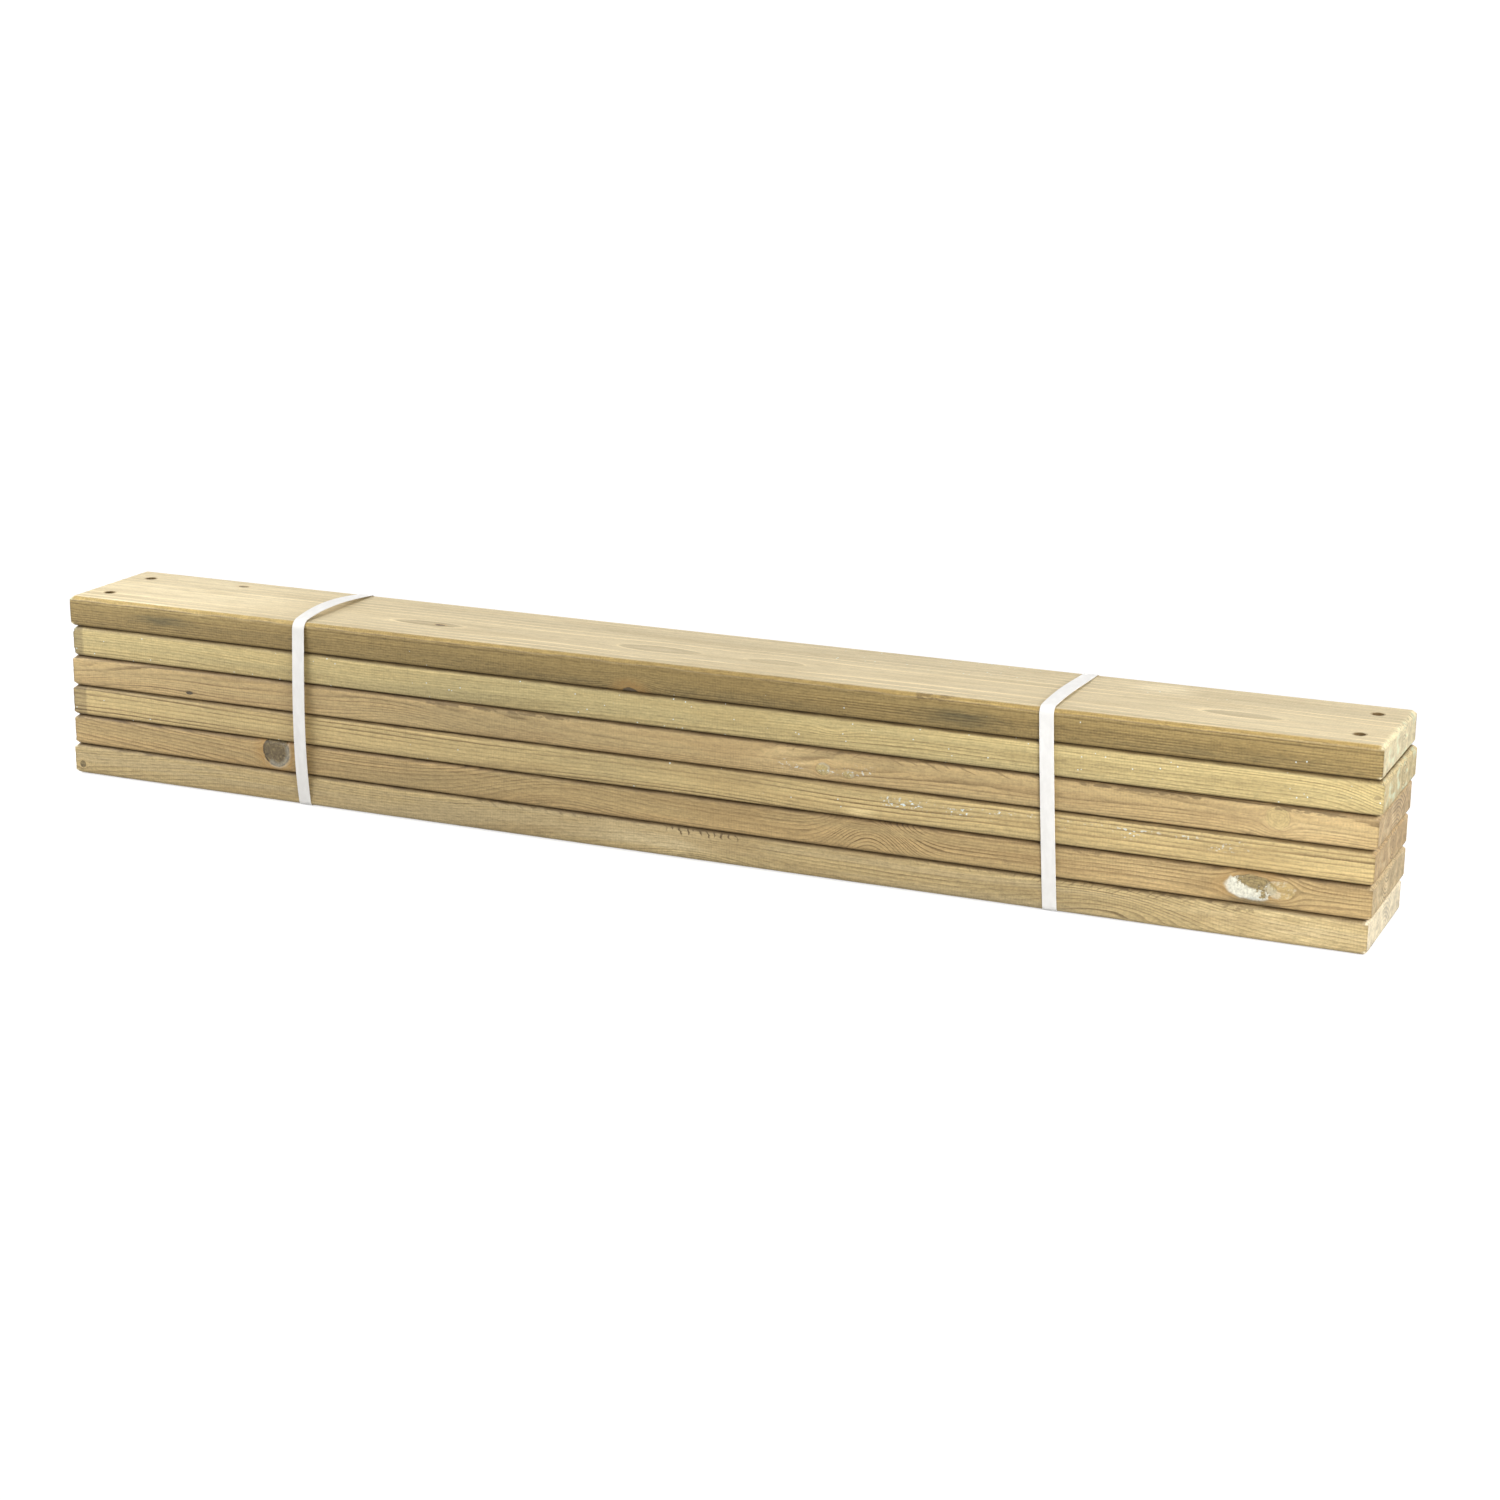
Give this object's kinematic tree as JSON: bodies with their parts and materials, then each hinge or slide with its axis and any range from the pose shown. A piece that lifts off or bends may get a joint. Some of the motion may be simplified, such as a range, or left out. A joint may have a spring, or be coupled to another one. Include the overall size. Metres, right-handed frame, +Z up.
{
  "type": "bundle of treated planks",
  "caption": "Bundle of pressure-treated softwood planks stacked flat, with rounded long edges and drilled ends, held together by white plastic straps.",
  "frame": {"origin": "on the floor, under the middle of the bundle", "axes": "+X along the planks, +Y across them to the back, +Z up"},
  "size_m": [1.2055, 0.1302, 0.1756],
  "materials": {
    "treated_wood": "planed, dry, matt",
    "strap": "semi-matt, embossed"
  },
  "bodies": {
    "root": {"plank_1": "treated_wood", "plank_2": "treated_wood", "plank_3": "treated_wood", "plank_4": "treated_wood", "plank_5": "treated_wood", "plank_6": "treated_wood", "strap_left": "strap", "strap_right": "strap"}
  },
  "joints": []
}
